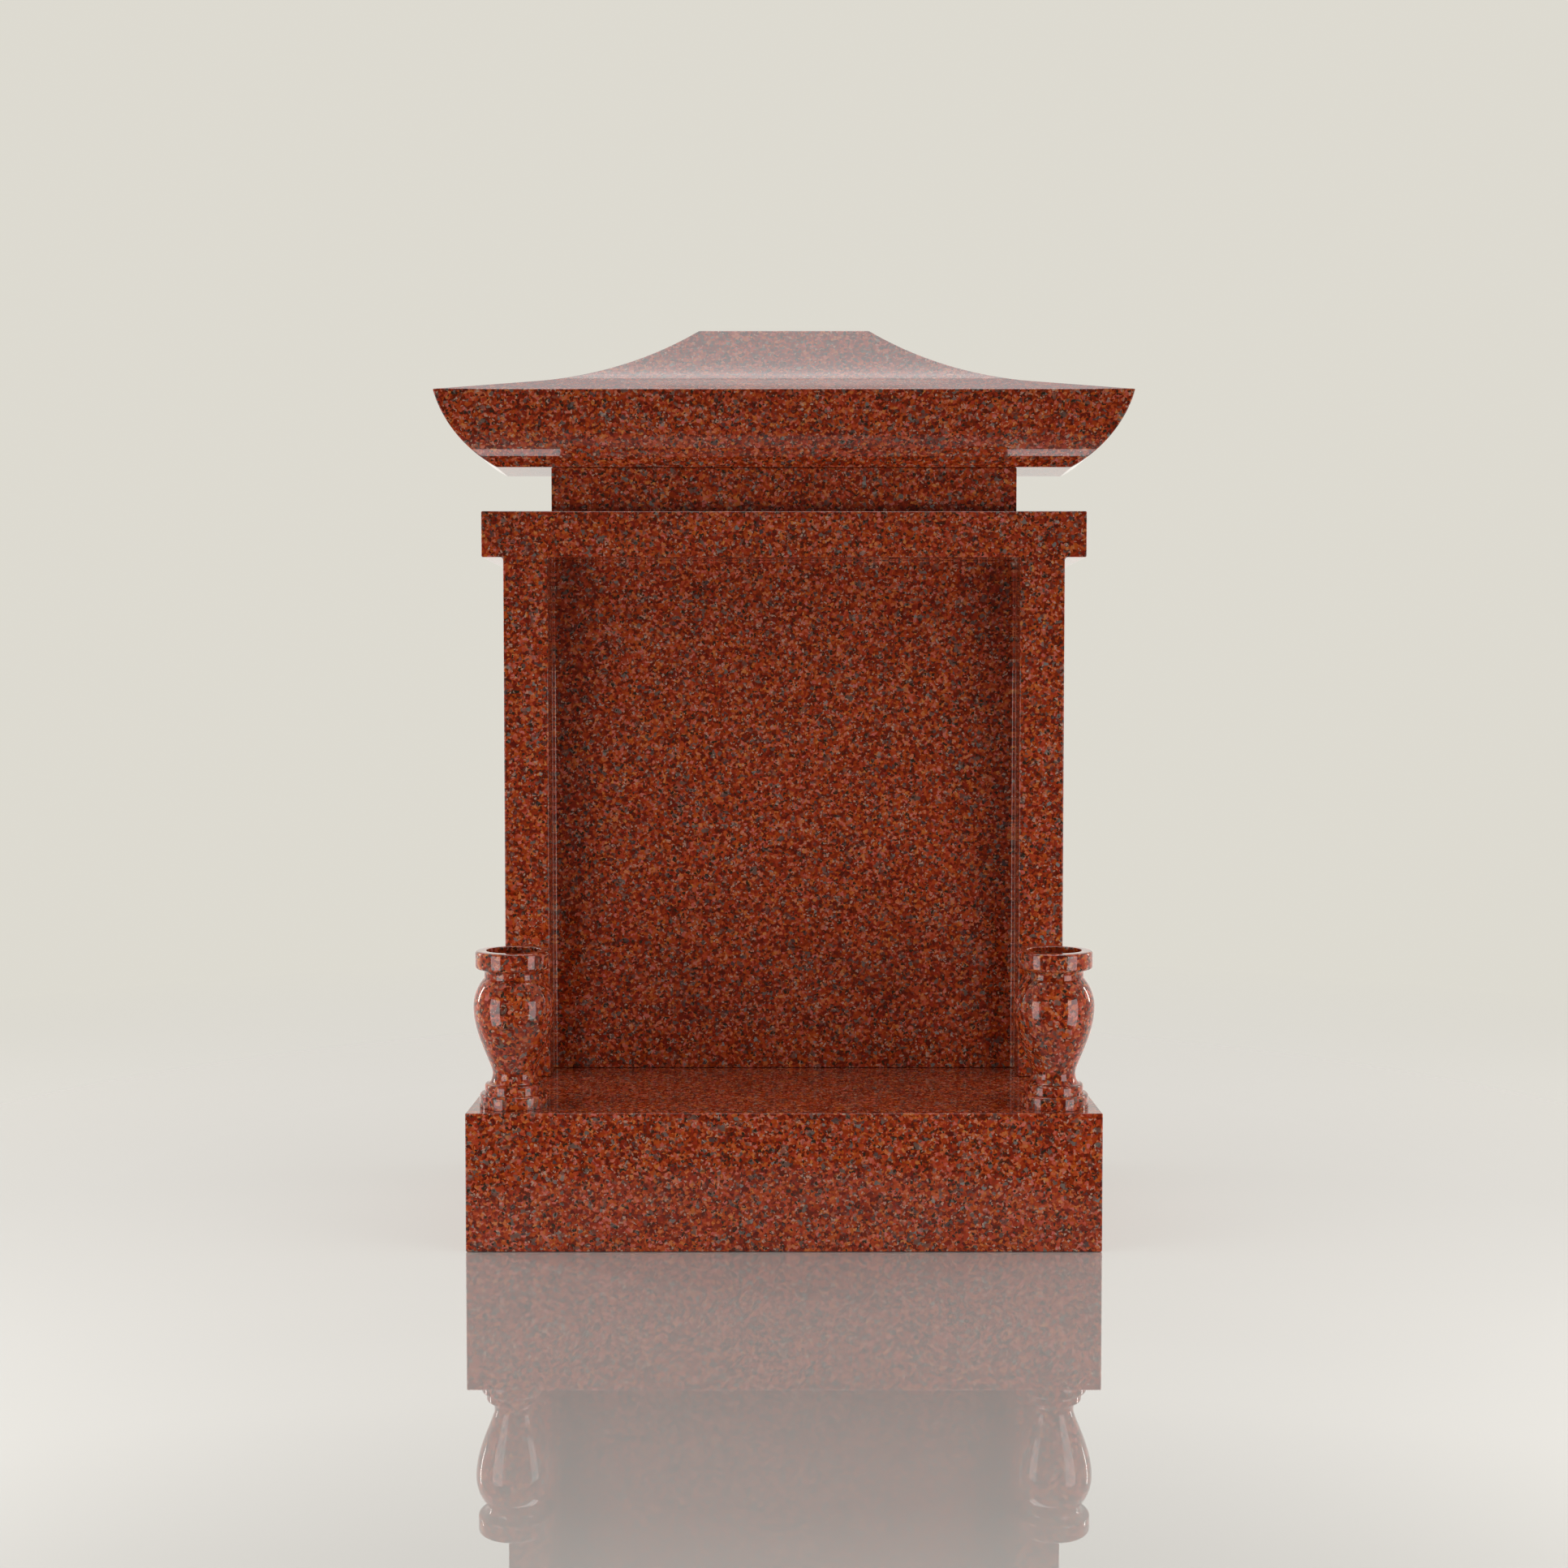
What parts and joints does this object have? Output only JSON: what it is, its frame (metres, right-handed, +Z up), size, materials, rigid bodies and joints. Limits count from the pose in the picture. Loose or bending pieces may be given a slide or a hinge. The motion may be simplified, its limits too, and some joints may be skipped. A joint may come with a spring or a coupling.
{
  "type": "pagoda headstone",
  "caption": "Upright granite memorial with a plinth, a framed body with a sunk panel, a neck block, a four-sided swept roof and turned flower vases, standing by its own weight.",
  "frame": {"origin": "middle of the plinth's underside, on the ground", "axes": "+Z up, the front with its vases faces -Y, +X to the right seen from the front"},
  "size_m": [0.9386, 0.47, 1.2053],
  "materials": {
    "plinth_granite": "polished red granite",
    "body_granite": "polished red granite",
    "neck_granite": "polished red granite",
    "roof_granite": "polished red granite",
    "vase_granite": "polished red granite"
  },
  "bodies": {
    "root": {"plinth": "plinth_granite", "body": "body_granite", "neck": "neck_granite", "roof": "roof_granite", "vase_left": "vase_granite", "vase_right": "vase_granite"}
  },
  "joints": []
}
